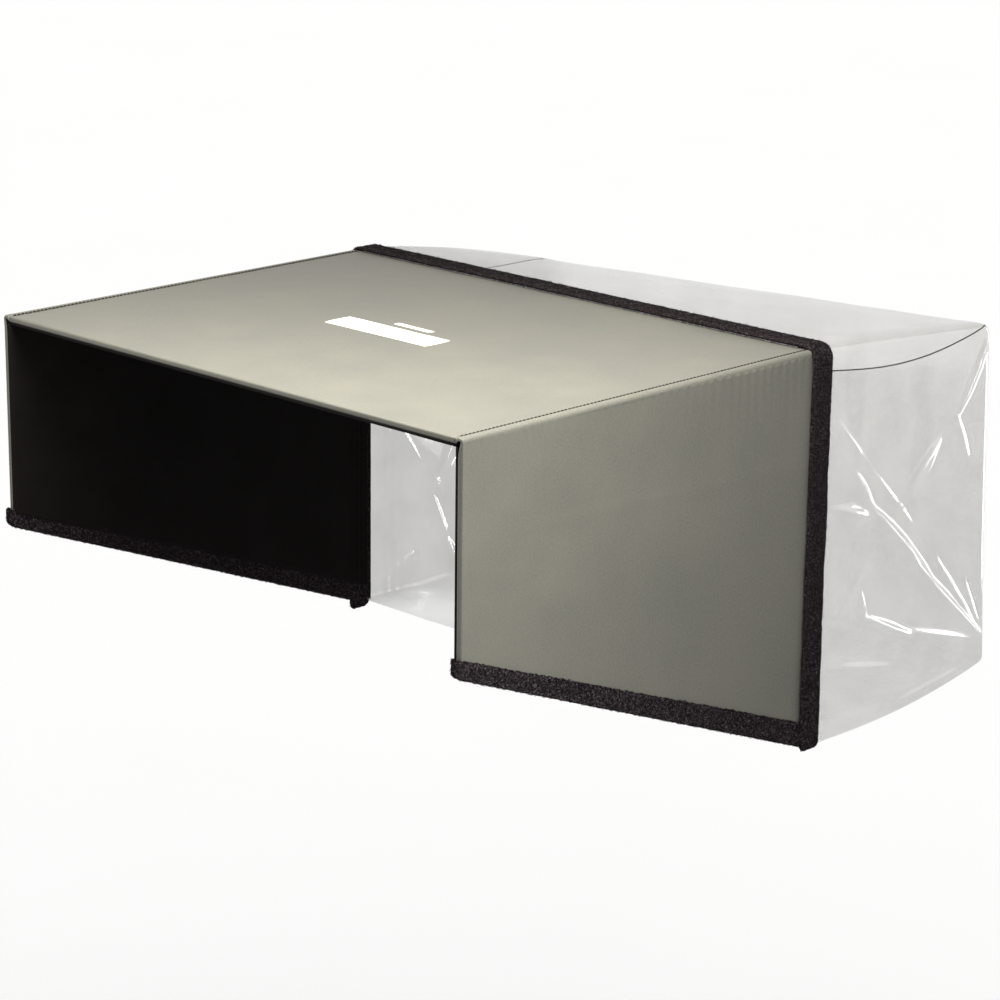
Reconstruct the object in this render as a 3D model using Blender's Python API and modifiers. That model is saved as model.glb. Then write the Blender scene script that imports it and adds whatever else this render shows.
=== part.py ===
"""Folding fabric hood with a clear vinyl rear cover.

A stiff top panel carries two stiff side panels on fabric hinges. The side panels
are deep at the rear and short at the front, and fold inward under the top. A limp
clear cover closes the rear. Its edge tape presses onto hook tape on the panels,
and the cover pulls off rearwards.

Units are metres. +X is right and +Y is rearwards, away from the open front. +Z is
up. The origin is on the underside of the top panel, at the middle of the line
where the hood rests on the top edge of a screen.
"""

import bmesh
import bpy
from math import cos, pi, radians, sin
from mathutils import Vector

# Driving dimensions
WIDTH = 0.430  # across the outer faces of the side panels
PANEL_DEPTH = 0.322  # front edge to rear edge of the panels
REAR_HEIGHT = 0.2715  # side panel with its binding, at the rear
FRONT_HEIGHT = 0.1455  # the same at the front edge
SEAT_BEHIND = 0.020  # from the origin back to the rear edge of the panels

CLEARANCE = 0.0003  # between pieces that touch
SKIN = 0.0005  # coated outer cloth, and the lining
BOARD = 0.0039  # twin-wall stiffener
PANEL = BOARD + 2 * (SKIN + CLEARANCE)

HEM = 0.008  # width of the front hem on the outer face
BINDING = 0.0010  # thickness of the bottom binding
BINDING_FRONT = 0.0125  # height of the binding at the front
BINDING_REAR = 0.0175  # and at the rear
BINDING_NOSE = 0.004  # the binding runs this far past the front edge

HOOK_TAPE = 0.0008  # thickness
EDGE_TAPE = 0.0012  # thickness of the cover's tape
EDGE_TAPE_WIDTH = 0.0194
EDGE_TAPE_LAP = 0.009  # how far it laps onto the panels
EDGE_TAPE_RADIUS = 0.0055  # inside its top corners

FOLD_DROP = 0.0016  # air between the top lining and a folded side
SIDE_TOP_RISE = 0.0028  # top edge of a side panel above its fold axis

VINYL = 0.0005
COVER_REAR_TOP = 0.206  # Y of the cover's rear edge at the top
COVER_REAR_BOTTOM = 0.220  # and at the bottom
COVER_DROP_LEFT = 0.034  # how far the limp top falls towards its rear corners
COVER_DROP_RIGHT = 0.014
COVER_BOTTOM_RISE = 0.016  # rise of the bottom sheet towards the rear
COVER_SEAM_FRONT = 0.0155  # side seam below the top sheet, at the front
COVER_SEAM_REAR = 0.0060  # and at the rear
COVER_SEAM_SAG = 0.006
COVER_TAPER = 0.003  # each side draws in by this at the rear

THREAD = 0.0003  # radius of the sewing thread lines

# Derived places
HALF = WIDTH / 2
TOP_Z = PANEL
REAR_Y = SEAT_BEHIND
FRONT_Y = REAR_Y - PANEL_DEPTH
LAP_Y = REAR_Y - EDGE_TAPE_LAP
TAPE_END_Y = LAP_Y + EDGE_TAPE_WIDTH
FLOOR_Z = TOP_Z - REAR_HEIGHT
BINDING_REACH = BINDING + CLEARANCE  # how far it stands outside a panel
PANEL_LOW_REAR = FLOOR_Z + BINDING_REACH
PANEL_LOW_FRONT = TOP_Z - FRONT_HEIGHT + BINDING_REACH
FOLD_X = HALF - PANEL / 2
FOLD_Z = -(PANEL / 2 + FOLD_DROP)
SIDE_TOP_Z = FOLD_Z + SIDE_TOP_RISE
EDGE_TAPE_OFFSET = BINDING_REACH + CLEARANCE  # its inner face, outside the panels
VINYL_OFFSET = EDGE_TAPE_OFFSET - CLEARANCE  # the cover's outer face, inside its tape


def lerp(a, b, t):
    return a + (b - a) * t


def clear_scene():
    for obj in list(bpy.data.objects):
        bpy.data.objects.remove(obj, do_unlink=True)


def material(name, color, roughness, metallic=0.0, alpha=1.0):
    mat = bpy.data.materials.new(name)
    mat.use_nodes = True
    shader = mat.node_tree.nodes["Principled BSDF"]
    shader.inputs["Base Color"].default_value = (*color, 1.0)
    shader.inputs["Roughness"].default_value = roughness
    shader.inputs["Metallic"].default_value = metallic
    shader.inputs["Alpha"].default_value = alpha
    return mat


def pivot(collection, name, place):
    empty = bpy.data.objects.new(name, None)
    empty.location = place
    collection.objects.link(empty)
    return empty


def add(collection, obj, mat, parent):
    """Gives an object modelled in world space its material and its parent."""
    obj.data.materials.append(mat)
    for other in list(obj.users_collection):
        other.objects.unlink(obj)
    collection.objects.link(obj)
    obj.parent = parent
    obj.location = Vector(obj.location) - parent.location
    return obj


def block(name, low, high):
    """A plain box between two corners."""
    mesh = bpy.data.meshes.new(name)
    bm = bmesh.new()
    bmesh.ops.create_cube(bm, size=1.0)
    size = [high[i] - low[i] for i in range(3)]
    bmesh.ops.scale(bm, vec=size, verts=bm.verts)
    bm.to_mesh(mesh)
    bm.free()
    obj = bpy.data.objects.new(name, mesh)
    obj.location = [(low[i] + high[i]) / 2 for i in range(3)]
    return obj


def slab(name, outline, thickness, place, rotation):
    """A flat plate from a closed outline of points in its own plane."""
    curve = bpy.data.curves.new(name, "CURVE")
    curve.dimensions = "2D"
    curve.fill_mode = "BOTH"
    curve.extrude = thickness / 2
    spline = curve.splines.new("POLY")
    spline.points.add(len(outline) - 1)
    for point, (a, b) in zip(spline.points, outline):
        point.co = (a, b, 0, 1)
    spline.use_cyclic_u = True
    obj = bpy.data.objects.new(name, curve)
    obj.rotation_euler = rotation
    obj.location = place
    return obj


def side_slab(name, outline, thickness, middle_x):
    """A plate that stands in the YZ plane, from an outline of (y, z) points."""
    return slab(name, outline, thickness, (middle_x, 0, 0), (pi / 2, 0, pi / 2))


def sheet(name, across, down, place, thickness):
    """A grid whose vertices are placed by place(u, v), thickened inward."""
    mesh = bpy.data.meshes.new(name)
    bm = bmesh.new()
    bmesh.ops.create_grid(bm, x_segments=across, y_segments=down, size=0.5)
    for vert in bm.verts:
        vert.co = place(vert.co.x + 0.5, vert.co.y + 0.5)
    bm.to_mesh(mesh)
    bm.free()
    mesh.shade_smooth()
    mesh.set_sharp_from_angle(angle=radians(35))
    obj = bpy.data.objects.new(name, mesh)
    solidify = obj.modifiers.new("thickness", "SOLIDIFY")
    solidify.thickness = thickness
    solidify.offset = -1
    solidify.use_even_offset = True
    return obj


def thread(name, points, radius=THREAD):
    """A thin sewn line as a tube through the points."""
    curve = bpy.data.curves.new(name, "CURVE")
    curve.dimensions = "3D"
    curve.bevel_depth = radius
    curve.bevel_resolution = 1
    curve.use_fill_caps = True
    spline = curve.splines.new("POLY")
    spline.points.add(len(points) - 1)
    for point, place in zip(spline.points, points):
        point.co = (*place, 1)
    return bpy.data.objects.new(name, curve)


def along(path, t):
    """The point at share t of the number of steps of a polyline."""
    step = t * (len(path) - 1)
    i = min(int(step + 1e-6), len(path) - 2)
    a, b = path[i], path[i + 1]
    return tuple(lerp(a[k], b[k], step - i) for k in range(len(a)))


def arc(centre, radius, start, end, steps):
    """Points on a circular arc, angles in degrees."""
    found = []
    for i in range(steps + 1):
        angle = radians(lerp(start, end, i / steps))
        found.append((centre[0] + radius * cos(angle), centre[1] + radius * sin(angle)))
    return found


def low_edge(y):
    """Height of a side panel's sloping bottom edge."""
    return lerp(PANEL_LOW_FRONT, PANEL_LOW_REAR, (y - FRONT_Y) / PANEL_DEPTH)


def binding_top(y):
    """Height of the binding's upper edge, which rises away from the bottom edge."""
    share = (y - FRONT_Y + BINDING_NOSE) / (PANEL_DEPTH + BINDING_NOSE)
    return low_edge(y) - BINDING_REACH + lerp(BINDING_FRONT, BINDING_REAR, share)


def side_outline(front, low=low_edge):
    """A side panel's layer from its front edge to the rear, above a lower edge."""
    corners = [(front, low(front)), (REAR_Y, low(REAR_Y))]
    return corners + [(REAR_Y, SIDE_TOP_Z), (front, SIDE_TOP_Z)]


def lining_low(y):
    return binding_top(y) + CLEARANCE


def top_panel(collection, mats, body):
    inner = HALF - PANEL - CLEARANCE  # half width between the hinge cloths
    board_front = FRONT_Y + SKIN + CLEARANCE
    board_z = SKIN + CLEARANCE
    pieces = [
        (
            block("top_board", (-inner, board_front, board_z), (inner, REAR_Y, board_z + BOARD)),
            mats["board"],
        ),
        (
            block(
                "top_outer_skin",
                (-inner, FRONT_Y + HEM + CLEARANCE, TOP_Z - SKIN),
                (inner, REAR_Y, TOP_Z),
            ),
            mats["shell"],
        ),
        (block("top_lining", (-inner, board_front, 0), (inner, REAR_Y, SKIN)), mats["lining"]),
        (top_hem(), mats["shell"]),
        (
            block(
                "top_hook_tape",
                (-HALF + 0.012, LAP_Y + CLEARANCE, TOP_Z + CLEARANCE),
                (HALF - 0.012, REAR_Y - CLEARANCE, TOP_Z + CLEARANCE + HOOK_TAPE),
            ),
            mats["hook"],
        ),
    ]
    for side, word in ((-1, "left"), (1, "right")):
        pieces.append((hinge_cloth(side, f"{word}_hinge_cloth"), mats["shell"]))
        x = side * (inner + CLEARANCE / 2)
        line = [(x, FRONT_Y + HEM, TOP_Z + 2 * THREAD), (x, LAP_Y - 0.001, TOP_Z + 2 * THREAD)]
        pieces.append((thread(f"{word}_top_stitching", line), mats["thread"]))
    for obj, mat in pieces:
        add(collection, obj, mat, body)


def top_hem():
    """Outer cloth folded over the front edge of the top panel."""
    half = HALF - PANEL - CLEARANCE
    radius = 0.0012
    bend = arc((FRONT_Y + radius, TOP_Z - radius), radius, 90, 180, 3)
    path = [(FRONT_Y + HEM, TOP_Z), *bend, (FRONT_Y, 0.0)]

    def place(u, v):
        y, z = along(path, v)
        return (lerp(half, -half, u), y, z)

    return sheet("top_front_hem", 1, len(path) - 1, place, SKIN)


def hinge_cloth(side, name):
    """Folded cloth that turns over the corner from the top to a side panel."""
    radius = 0.0016
    centre = (HALF - radius, TOP_Z - radius)
    low = SIDE_TOP_Z + CLEARANCE
    outline = [(HALF - PANEL, TOP_Z), *arc(centre, radius, 90, 0, 4), (HALF, low)]
    outline += [(HALF - SKIN, low), (HALF - SKIN, 0), (HALF - PANEL, 0)]
    mirrored = [(side * x, z) for x, z in outline]
    middle = (0, (FRONT_Y + REAR_Y) / 2, 0)
    return slab(name, mirrored, PANEL_DEPTH, middle, (pi / 2, 0, 0))


def side_panel(collection, mats, body, side, word):
    skin_x = side * (HALF - SKIN / 2)
    board_x = side * (HALF - PANEL / 2)
    lining_x = side * (HALF - PANEL + SKIN / 2)
    board_front = FRONT_Y + SKIN + CLEARANCE
    skin_front = FRONT_Y + HEM + CLEARANCE
    pieces = [
        (
            side_slab(f"{word}_board", side_outline(board_front), BOARD, board_x),
            mats["board"],
        ),
        (
            side_slab(f"{word}_outer_skin", side_outline(skin_front), SKIN, skin_x),
            mats["shell"],
        ),
        (
            side_slab(f"{word}_lining", side_outline(board_front, lining_low), SKIN, lining_x),
            mats["lining"],
        ),
        (side_hem(side, f"{word}_front_hem"), mats["shell"]),
        (binding(side, f"{word}_bottom_binding"), mats["tape"]),
        (side_hook_tape(side, f"{word}_hook_tape"), mats["hook"]),
    ]
    for obj, mat in pieces:
        add(collection, obj, mat, body)


def side_hem(side, name):
    """Outer cloth folded over the front edge of a side panel."""
    radius = 0.0012
    bend = arc((HALF - radius, FRONT_Y + radius), radius, 0, -90, 3)
    path = [(HALF, FRONT_Y + HEM), *bend, (HALF - PANEL, FRONT_Y)]

    def place(u, v):
        x, y = along(path, u)
        rise = v if side < 0 else 1 - v
        return (side * x, y, lerp(low_edge(y), SIDE_TOP_Z, rise))

    return sheet(name, len(path) - 1, 1, place, SKIN)


def binding(side, name):
    """Loop tape folded round the bottom edge of a side panel."""
    radius = BINDING_REACH
    outer_x, inner_x = HALF + radius, HALF - PANEL - radius
    front = FRONT_Y - BINDING_NOSE

    def section(y):
        low, high = low_edge(y) - radius, binding_top(y)
        bend_out = arc((outer_x - radius, low + radius), radius, 0, -90, 3)
        bend_in = arc((inner_x + radius, low + radius), radius, -90, -180, 3)
        return [(outer_x, high), *bend_out, *bend_in, (inner_x, high)]

    steps = len(section(front)) - 1

    def place(u, v):
        y = lerp(front, REAR_Y, v if side > 0 else 1 - v)
        x, z = along(section(y), u)
        return (side * x, y, z)

    return sheet(name, steps, 1, place, BINDING)


def side_hook_tape(side, name):
    low = binding_top(LAP_Y) + CLEARANCE
    x0, x1 = sorted((side * (HALF + CLEARANCE), side * (HALF + CLEARANCE + HOOK_TAPE)))
    return block(
        name,
        (x0, LAP_Y + CLEARANCE, low),
        (x1, REAR_Y - CLEARANCE, FOLD_Z - 0.004),
    )


def edge_path(offset, radius, low, steps=6):
    """Outline round the top and sides at an offset outside the panels, as (x, z)."""
    x, z = HALF + offset, TOP_Z + offset
    right = arc((x - radius, z - radius), radius, 90, 0, steps)
    left = arc((-x + radius, z - radius), radius, 180, 90, steps)
    return [(-x, low), *left, *right, (x, low)]


def cover_tape(collection, mats, body):
    outer = EDGE_TAPE_OFFSET + EDGE_TAPE
    path = edge_path(outer, EDGE_TAPE_RADIUS + EDGE_TAPE, FLOOR_Z)

    def place(u, v):
        x, z = along(path, u)
        return (x, lerp(LAP_Y, TAPE_END_Y, v), z)

    tape = sheet("cover_edge_tape", len(path) - 1, 1, place, EDGE_TAPE)
    add(collection, tape, mats["tape"], body)
    raised = outer + 2 * THREAD
    line = edge_path(raised, EDGE_TAPE_RADIUS + EDGE_TAPE + 2 * THREAD, FLOOR_Z + 0.003)
    stitch_y = LAP_Y + 0.0018
    row = thread("edge_tape_stitching", [(x, stitch_y, z) for x, z in line])
    add(collection, row, mats["thread"], body)


def cover_half_width(s):
    return HALF + VINYL_OFFSET - COVER_TAPER * s


def cover_top_z(s, side):
    """Height of the top sheet's edge at share s of the way back."""
    drop = COVER_DROP_LEFT if side < 0 else COVER_DROP_RIGHT
    return TOP_Z + VINYL_OFFSET - drop * s**1.4


def cover_seam_z(s, side):
    below = lerp(COVER_SEAM_FRONT, COVER_SEAM_REAR, s) + COVER_SEAM_SAG * sin(pi * s)
    return cover_top_z(s, side) - below


def cover_bottom_z(s):
    return FLOOR_Z + COVER_BOTTOM_RISE * s


def cover_y(s, z):
    """Depth at share s. The rear leans out towards its bottom."""
    rise = (z - FLOOR_Z) / (TOP_Z - FLOOR_Z)
    return lerp(REAR_Y + 2 * CLEARANCE, lerp(COVER_REAR_BOTTOM, COVER_REAR_TOP, rise), s)


def cover_section(s):
    """The top sheet's cross-section from the left seam to the right seam."""
    radius = EDGE_TAPE_RADIUS - CLEARANCE
    x = cover_half_width(s)
    left, right = cover_top_z(s, -1), cover_top_z(s, 1)
    over_left = arc((-x + radius, left - radius), radius, 180, 90, 4)
    over_right = arc((x - radius, right - radius), radius, 90, 0, 4)
    return [(-x, cover_seam_z(s, -1)), *over_left, *over_right, (x, cover_seam_z(s, 1))]


def cover_sheets(collection, mats, body):
    steps = 10
    last = 1 - 2 * CLEARANCE / COVER_REAR_TOP  # the walls stop just short of the back

    def top_place(u, v):
        x, z = along(cover_section(last * v), u)
        return (x, cover_y(last * v, z), z)

    def side_place(side):
        def place(u, v):
            s = last * v
            high = cover_seam_z(s, side) - CLEARANCE
            low = cover_bottom_z(s) + VINYL + CLEARANCE
            z = lerp(low, high, u if side < 0 else 1 - u)
            return (side * cover_half_width(s), cover_y(s, z), z)

        return place

    def bottom_place(u, v):
        s = last * v
        z = cover_bottom_z(s)
        x = cover_half_width(s)
        return (lerp(x, -x, u), cover_y(s, z), z)

    def back_place(u, v):
        x = cover_half_width(1)
        top = lerp(cover_top_z(1, 1), cover_top_z(1, -1), u)
        z = lerp(cover_bottom_z(1), top, v)
        return (lerp(x, -x, u), cover_y(1, z) + VINYL, z)

    across = len(cover_section(0)) - 1
    made = [
        sheet("cover_top", across, steps, top_place, VINYL),
        sheet("cover_left_wall", 4, steps, side_place(-1), VINYL),
        sheet("cover_right_wall", 4, steps, side_place(1), VINYL),
        sheet("cover_bottom", 4, steps, bottom_place, VINYL),
        sheet("cover_back", 6, 4, back_place, VINYL),
    ]
    for obj in made:
        add(collection, obj, mats["vinyl"], body)


def cover_seams(collection, mats, body):
    """Dark thread along each side, where the top sheet is sewn to the walls."""
    for side, word in ((-1, "left"), (1, "right")):
        line = []
        for i in range(13):
            s = lerp(0.06, 0.99, i / 12)
            z = cover_seam_z(s, side)
            out = cover_half_width(s) + 2 * THREAD
            line.append((side * out, cover_y(s, z), z))
        seam = thread(f"cover_{word}_seam_thread", line)
        add(collection, seam, mats["thread"], body)


def main():
    clear_scene()
    collection = bpy.data.collections.new("folding_hood")
    bpy.context.scene.collection.children.link(collection)
    mats = {
        "shell": material("coated_cloth", (0.28, 0.27, 0.23), 0.55),
        "lining": material("black_lining", (0.006, 0.005, 0.005), 0.8),
        "board": material("twin_wall_board", (0.03, 0.03, 0.03), 0.6),
        "tape": material("loop_tape", (0.025, 0.018, 0.022), 0.95),
        "hook": material("hook_tape", (0.02, 0.02, 0.02), 0.6),
        "thread": material("dark_thread", (0.03, 0.025, 0.025), 0.7),
        "vinyl": material("clear_vinyl", (0.75, 0.75, 0.73), 0.12, alpha=0.35),
    }
    top_body = pivot(collection, "top_frame", (0, 0, 0))
    left_body = pivot(collection, "left_fold_axis", (-FOLD_X, 0, FOLD_Z))
    right_body = pivot(collection, "right_fold_axis", (FOLD_X, 0, FOLD_Z))
    cover_body = pivot(collection, "cover_frame", (0, LAP_Y, 0))
    top_panel(collection, mats, top_body)
    side_panel(collection, mats, left_body, -1, "left")
    side_panel(collection, mats, right_body, 1, "right")
    cover_tape(collection, mats, cover_body)
    cover_sheets(collection, mats, cover_body)
    cover_seams(collection, mats, cover_body)


main()
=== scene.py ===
"""Looks of the folding fabric hood with its clear vinyl rear cover.

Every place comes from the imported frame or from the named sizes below, in metres.
+X is right seen from the open front, +Y is rearwards and +Z is up.
"""

from math import cos, pi, radians, sin

import bpy
import numpy as np
from mathutils import Matrix, Vector
from mathutils.bvhtree import BVHTree


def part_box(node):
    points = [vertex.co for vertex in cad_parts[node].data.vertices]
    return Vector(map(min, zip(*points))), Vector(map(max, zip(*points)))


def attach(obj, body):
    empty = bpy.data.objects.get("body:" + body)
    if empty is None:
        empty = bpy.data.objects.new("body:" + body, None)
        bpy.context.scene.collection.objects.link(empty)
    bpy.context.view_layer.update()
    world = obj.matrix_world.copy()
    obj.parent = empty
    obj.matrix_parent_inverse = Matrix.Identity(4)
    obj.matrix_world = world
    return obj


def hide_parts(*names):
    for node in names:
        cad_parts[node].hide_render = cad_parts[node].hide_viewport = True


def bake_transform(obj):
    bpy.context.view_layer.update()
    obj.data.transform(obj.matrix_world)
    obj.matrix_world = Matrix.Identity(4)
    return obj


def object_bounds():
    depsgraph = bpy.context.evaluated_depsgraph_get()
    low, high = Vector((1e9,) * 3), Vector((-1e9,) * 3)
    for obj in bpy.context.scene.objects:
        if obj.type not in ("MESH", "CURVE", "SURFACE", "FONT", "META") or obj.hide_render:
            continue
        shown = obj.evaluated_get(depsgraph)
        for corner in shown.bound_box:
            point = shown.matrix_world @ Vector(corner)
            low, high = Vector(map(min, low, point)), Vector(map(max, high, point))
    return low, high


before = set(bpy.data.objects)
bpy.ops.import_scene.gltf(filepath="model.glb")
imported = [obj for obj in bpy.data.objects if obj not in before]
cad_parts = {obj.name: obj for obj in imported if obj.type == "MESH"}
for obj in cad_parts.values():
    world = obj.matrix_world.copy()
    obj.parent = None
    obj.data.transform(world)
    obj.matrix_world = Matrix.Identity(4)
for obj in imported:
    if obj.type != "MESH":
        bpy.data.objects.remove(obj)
CAD_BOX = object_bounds()

# Places read from the frame
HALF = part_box("right_outer_skin")[1].x
TOP_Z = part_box("top_outer_skin")[1].z
PANEL = TOP_Z  # thickness of a panel, because z is 0 on the top panel's underside
INNER = HALF - PANEL  # inner face of a side panel, below the top's stitch line
FRONT_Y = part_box("top_front_hem")[0].y
REAR_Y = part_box("top_board")[1].y
LAP_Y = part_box("cover_edge_tape")[0].y
TAPE_END_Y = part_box("cover_edge_tape")[1].y
TAPE_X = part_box("cover_edge_tape")[1].x
FLOOR_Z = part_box("cover_edge_tape")[0].z
BINDING_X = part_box("right_bottom_binding")[1].x
BINDING_FRONT_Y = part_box("right_bottom_binding")[0].y
COVER_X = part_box("cover_top")[1].x
COVER_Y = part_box("cover_top")[0].y
COVER_REAR_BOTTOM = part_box("cover_back")[1].y

# Cloth panels
CLOTH = 0.0005  # thickness of the outer cloth and the lining
FRONT_LOW_Z = -0.1387  # bottom edge of a side panel at the front
REAR_LOW_Z = -0.2647  # and at the rear
CORNER_RADIUS = 0.0024  # cloth turning from the top to a side
TURN_IN = 0.0034  # outer cloth turned round the front and rear edges
EDGE_RADIUS = 0.0013  # of the outer cloth at those edges
LINING_DEPTH = PANEL - TURN_IN - 0.0001  # lining turned up to meet the outer cloth
LINING_RADIUS = 0.0006
REAR_GAP = 0.0003  # cloth past the rear end of a board
BINDING_HEIGHT_FRONT = 0.0125  # of the loop tape along a side panel's bottom edge
BINDING_HEIGHT_REAR = 0.0175

# Repeats along the cloth
WEAVE_PITCH = 0.0009
FLUTE_PITCH = 0.008  # of the twin-wall boards
PUCKER_PITCH = 0.0082  # of the puckers under a sewn corner
TOP_STITCH_PITCH = 0.0032
TAPE_STITCH_PITCH = 0.0031
SEAM_STITCH_PITCH = 0.0038
BRAID_PITCH = 0.0017  # rows of the loop tape's herringbone

# Rear tape
TAPE_RUN = 0.955  # its length, up one side, over and down the other
TAPE_CORNER = 0.0096  # radius of its upper corners
TAPE_LEFT_DROP = 0.0050  # how much lower its left end hangs

# Clear cover, as the CAD model gives it
COVER_REAR_TOP = 0.206  # Y of its rear edge at the top
COVER_DROP = {-1: 0.034, 1: 0.014}  # how far the limp top falls, left and right
COVER_BOTTOM_RISE = 0.016  # of the bottom sheet towards the rear
COVER_TAPER = 0.003  # each side draws in by this at the rear
COVER_SEAM_FRONT = 0.0155  # how far the seam lies below the top sheet at the tape

# The film's own seam and mesh, and its cloth simulation
COVER_SEAM_REAR = 0.0004  # how far the seam lies below the top sheet at the rear
COVER_SEAM_SAG = 0.0112  # and how much more half way
COVER_CORNER = 0.0052  # radius of the upper edges at the tape
COVER_CORNER_GROWTH = 0.0080  # and how much more half way
COVER_CELLS = (66, 38, 29)  # across, up and rearwards; about 6.5 mm each
DRAPE_FRAMES = 30
SHRINK = -0.018  # the sheet is cut a little too large, so it buckles
HOLD_FREE = 0.20  # how firmly a point far from the tape keeps its place
HOLD_RIGHT = 0.42  # and on the right wall
HOLD_TOP = 0.85  # and on the top
HOLD_TOP_BAND = 0.045  # which reaches this far down
CALMING_ROUNDS = 5  # of averaging the film's movement with its neighbours
TAUT_CALMING_ROUNDS = 40

# Camera
CAMERA_PLACE = Vector((1.4458, -1.5299, 0.4760))
CAMERA_TARGET = Vector((0.0589, -0.1117, -0.1015))
CAMERA_ROLL = radians(0.68)
CAMERA_LENS = 113.88

FLOOR_BELOW = 0.45  # the hood hangs this far above the floor

SIDES = ((-1, "left"), (1, "right"))


# ---------------------------------------------------------------- numbers and noise


def lerp(a, b, t):
    return a + (b - a) * t


def ease(t):
    """Smooth step from 0 to 1."""
    t = np.clip(t, 0.0, 1.0)
    return t * t * (3 - 2 * t)


def bell(distance, width):
    """1 at no distance, falling smoothly to 0 over about twice the width."""
    return np.exp(-((distance / width) ** 2))


def ripple(points, seed, size, count=18):
    """Smooth noise of about unit height, from plane waves about `size` long."""
    rng = np.random.default_rng(seed)
    direction = rng.normal(size=(count, 3))
    direction /= np.linalg.norm(direction, axis=1)[:, None]
    waves = direction * (2 * pi / size) * rng.uniform(0.55, 1.6, (count, 1))
    phase = rng.uniform(0, 2 * pi, count)
    return np.sin(points @ waves.T + phase).sum(axis=-1) / np.sqrt(count / 2)


def segment_distance(y, z, start, end):
    """Signed distance from a line in the YZ plane, and the share of the way along it."""
    along = np.array(end) - np.array(start)
    length = np.hypot(*along)
    along = along / length
    dy, dz = y - start[0], z - start[1]
    return dy * along[1] - dz * along[0], (dy * along[0] + dz * along[1]) / length


# ---------------------------------------------------------------- meshes


def mesh_object(name, verts, faces, uv=None):
    """An object from arrays of corners and faces, with a UV map in metres of cloth."""
    mesh = bpy.data.meshes.new(name)
    mesh.from_pydata(verts.tolist(), [], faces.tolist())
    if uv is not None:
        layer = mesh.uv_layers.new(name="cut")
        layer.data.foreach_set("uv", uv[faces.ravel()].ravel().astype(np.float32))
    mesh.shade_smooth()
    obj = bpy.data.objects.new(name, mesh)
    bpy.context.scene.collection.objects.link(obj)
    return obj


def grid_faces(rows, cols, closed=False):
    index = np.arange(rows * cols).reshape(rows, cols)
    if closed:
        index = np.concatenate([index, index[:, :1]], axis=1)
    corners = (index[:-1, :-1], index[:-1, 1:], index[1:, 1:], index[1:, :-1])
    return np.stack(corners, axis=-1).reshape(-1, 4)


def running_length(points, axis):
    steps = np.linalg.norm(np.diff(points, axis=axis), axis=2).mean(axis=1 - axis)
    return np.concatenate([[0.0], np.cumsum(steps)])


def grid_normals(points):
    normal = np.cross(np.gradient(points, axis=0), np.gradient(points, axis=1))
    return normal / np.maximum(np.linalg.norm(normal, axis=2), 1e-12)[:, :, None]


def grid_object(name, points, thickness, flip=False):
    """A sheet from a grid of points. Its thickness goes inwards, away from its normals."""
    rows, cols = points.shape[:2]
    down, across = running_length(points, 0), running_length(points, 1)
    uv = np.stack(np.meshgrid(across, down), axis=-1).reshape(-1, 2)
    faces = grid_faces(rows, cols)
    if flip:
        faces = faces[:, ::-1]
    obj = mesh_object(name, points.reshape(-1, 3), faces, uv)
    if thickness:
        solid = obj.modifiers.new("thickness", "SOLIDIFY")
        solid.thickness = thickness
        solid.offset = -1
    return obj


def finish_piece(obj, mat, body=None):
    """Gives a piece its material, its slot and, where it needs no blend, its body."""
    obj.data.materials.clear()
    obj.data.materials.append(mat)
    if body:
        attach(obj, body)
    return obj


def frame_axes(direction, normal):
    """Unit axes along, up and sideways for each of many small pieces."""
    along = direction / np.linalg.norm(direction, axis=1)[:, None]
    side = np.cross(along, normal)
    side /= np.maximum(np.linalg.norm(side, axis=1), 1e-9)[:, None]
    return along, np.cross(side, along), side


def small_tubes(name, centres, direction, normal, line, radius, sides):
    """Many short tubes that follow the same bent line of (along, up, radius share)."""
    along, up, side = frame_axes(direction, normal)
    line = np.array(line)
    turn = np.linspace(0, 2 * pi, sides, endpoint=False)
    count, rings = len(centres), len(line)
    verts = np.zeros((count, rings, sides, 3))
    for i, (a, h, share) in enumerate(line):
        middle = centres + along * a + up * h
        before, after = line[max(i - 1, 0)], line[min(i + 1, rings - 1)]
        slope = np.arctan2(after[1] - before[1], after[0] - before[0])
        out = up * cos(slope) - along * sin(slope)
        for k, angle in enumerate(turn):
            reach = radius * share
            verts[:, i, k] = middle + (out * cos(angle) + side * sin(angle)) * reach
    one = grid_faces(rings, sides, closed=True)
    faces = (one[None] + (np.arange(count) * rings * sides)[:, None, None]).reshape(-1, 4)
    obj = mesh_object(name, verts.reshape(-1, 3), faces)
    last = (rings - 1) * sides
    ends = [list(range(sides)), list(range(last, last + sides))[::-1]]
    cap_tubes(obj, count, rings * sides, ends)
    return obj


def cap_tubes(obj, count, size, ends):
    """Closes both ends of each tube of a mesh made by small_tubes."""
    mesh = obj.data
    verts = np.zeros(len(mesh.vertices) * 3)
    mesh.vertices.foreach_get("co", verts)
    faces = [list(p.vertices) for p in mesh.polygons]
    for i in range(count):
        faces += [[i * size + k for k in end] for end in ends]
    mesh.clear_geometry()
    mesh.from_pydata(verts.reshape(-1, 3).tolist(), [], faces)
    mesh.shade_smooth()


def join(name, objects):
    with bpy.context.temp_override(
        active_object=objects[0], selected_editable_objects=objects, object=objects[0]
    ):
        bpy.ops.object.join()
    objects[0].name = name
    return objects[0]


def apply_modifiers(obj):
    depsgraph = bpy.context.evaluated_depsgraph_get()
    mesh = bpy.data.meshes.new_from_object(obj.evaluated_get(depsgraph))
    obj.modifiers.clear()
    obj.data = mesh
    return obj


# ---------------------------------------------------------------- materials


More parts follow.
